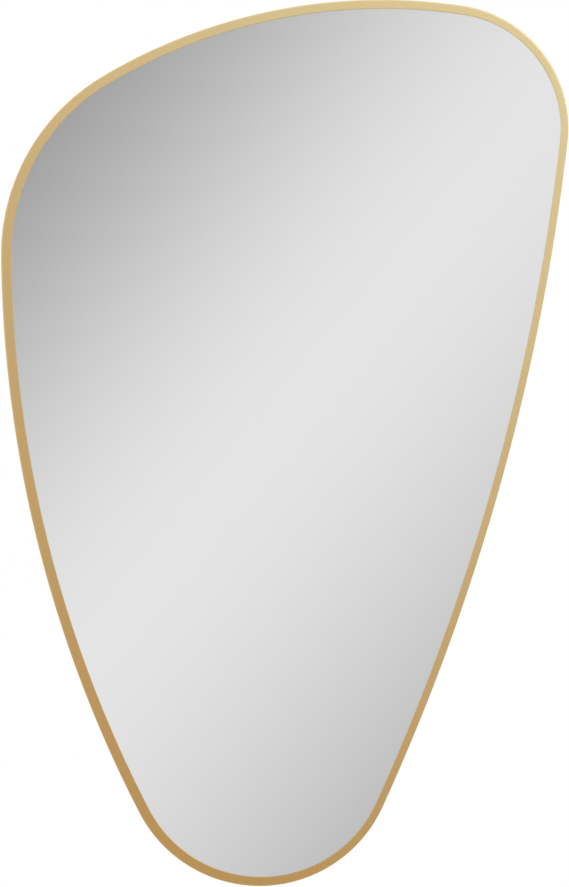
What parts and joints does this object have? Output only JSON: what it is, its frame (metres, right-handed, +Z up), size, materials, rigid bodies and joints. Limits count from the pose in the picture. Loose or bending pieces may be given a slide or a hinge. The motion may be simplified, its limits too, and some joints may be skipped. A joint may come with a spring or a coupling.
{
  "type": "irregular shaped mirror",
  "caption": "Pebble-shaped wall mirror in a thin gold channel frame, with a backing board, spring clips, rubber bumpers and swinging D-ring hangers behind.",
  "frame": {"origin": "middle of the line on which two wall hooks carry the raised hanger rings, in the plane of the wall", "axes": "+Z up, +Y into the wall, +X to the right as seen from the front, so the mirror faces -Y"},
  "size_m": [0.499, 0.024, 0.7797],
  "materials": {
    "gold_aluminium": "satin gold anodised",
    "mirror_pane": "polished, silvered float glass",
    "black_foam": "matt closed-cell foam",
    "white_foam": "matt foam adhesive tape",
    "fibreboard": "smooth raw fibreboard",
    "spring_steel": "bright rolled spring steel",
    "zinc_steel": "bright zinc plated",
    "nickel_wire": "nickel plated wire",
    "clear_rubber": "soft translucent rubber"
  },
  "bodies": {
    "mirror": {"frame_channel": "gold_aluminium", "frame_joiner": "zinc_steel", "joiner_screw_1": "zinc_steel", "joiner_screw_2": "zinc_steel", "joiner_screw_3": "zinc_steel", "joiner_screw_4": "zinc_steel", "lip_gasket": "black_foam", "mirror_glass": "mirror_pane", "tape_strip_1": "white_foam", "tape_strip_2": "white_foam", "tape_strip_3": "white_foam", "tape_strip_4": "white_foam", "tape_strip_5": "white_foam", "backing_board": "fibreboard", "spring_clip_1": "spring_steel", "spring_clip_2": "spring_steel", "spring_clip_3": "spring_steel", "spring_clip_4": "spring_steel", "spring_clip_5": "spring_steel", "spring_clip_6": "spring_steel", "spring_clip_7": "spring_steel", "spring_clip_8": "spring_steel", "spring_clip_9": "spring_steel", "spring_clip_10": "spring_steel", "hanger_strap_left": "zinc_steel", "hanger_screw_left_1": "zinc_steel", "hanger_screw_left_2": "zinc_steel", "hanger_strap_right": "zinc_steel", "hanger_screw_right_1": "zinc_steel", "hanger_screw_right_2": "zinc_steel", "bumper_upper_left": "clear_rubber", "bumper_upper_right": "clear_rubber", "bumper_lower_right": "clear_rubber", "bumper_lower_left": "clear_rubber"},
    "ring_left": {"hanger_ring_left": "nickel_wire"},
    "ring_right": {"hanger_ring_right": "nickel_wire"}
  },
  "joints": [
    {"name": "ring_left_swing", "type": "hinge", "parent": "mirror", "child": "ring_left", "pos_m": [-0.15, -0.0042, -0.01775], "axis": [1, 0, 0], "range_deg": [0, 180]},
    {"name": "ring_right_swing", "type": "hinge", "parent": "mirror", "child": "ring_right", "pos_m": [0.15, -0.0042, -0.01775], "axis": [1, 0, 0], "range_deg": [0, 180]}
  ]
}
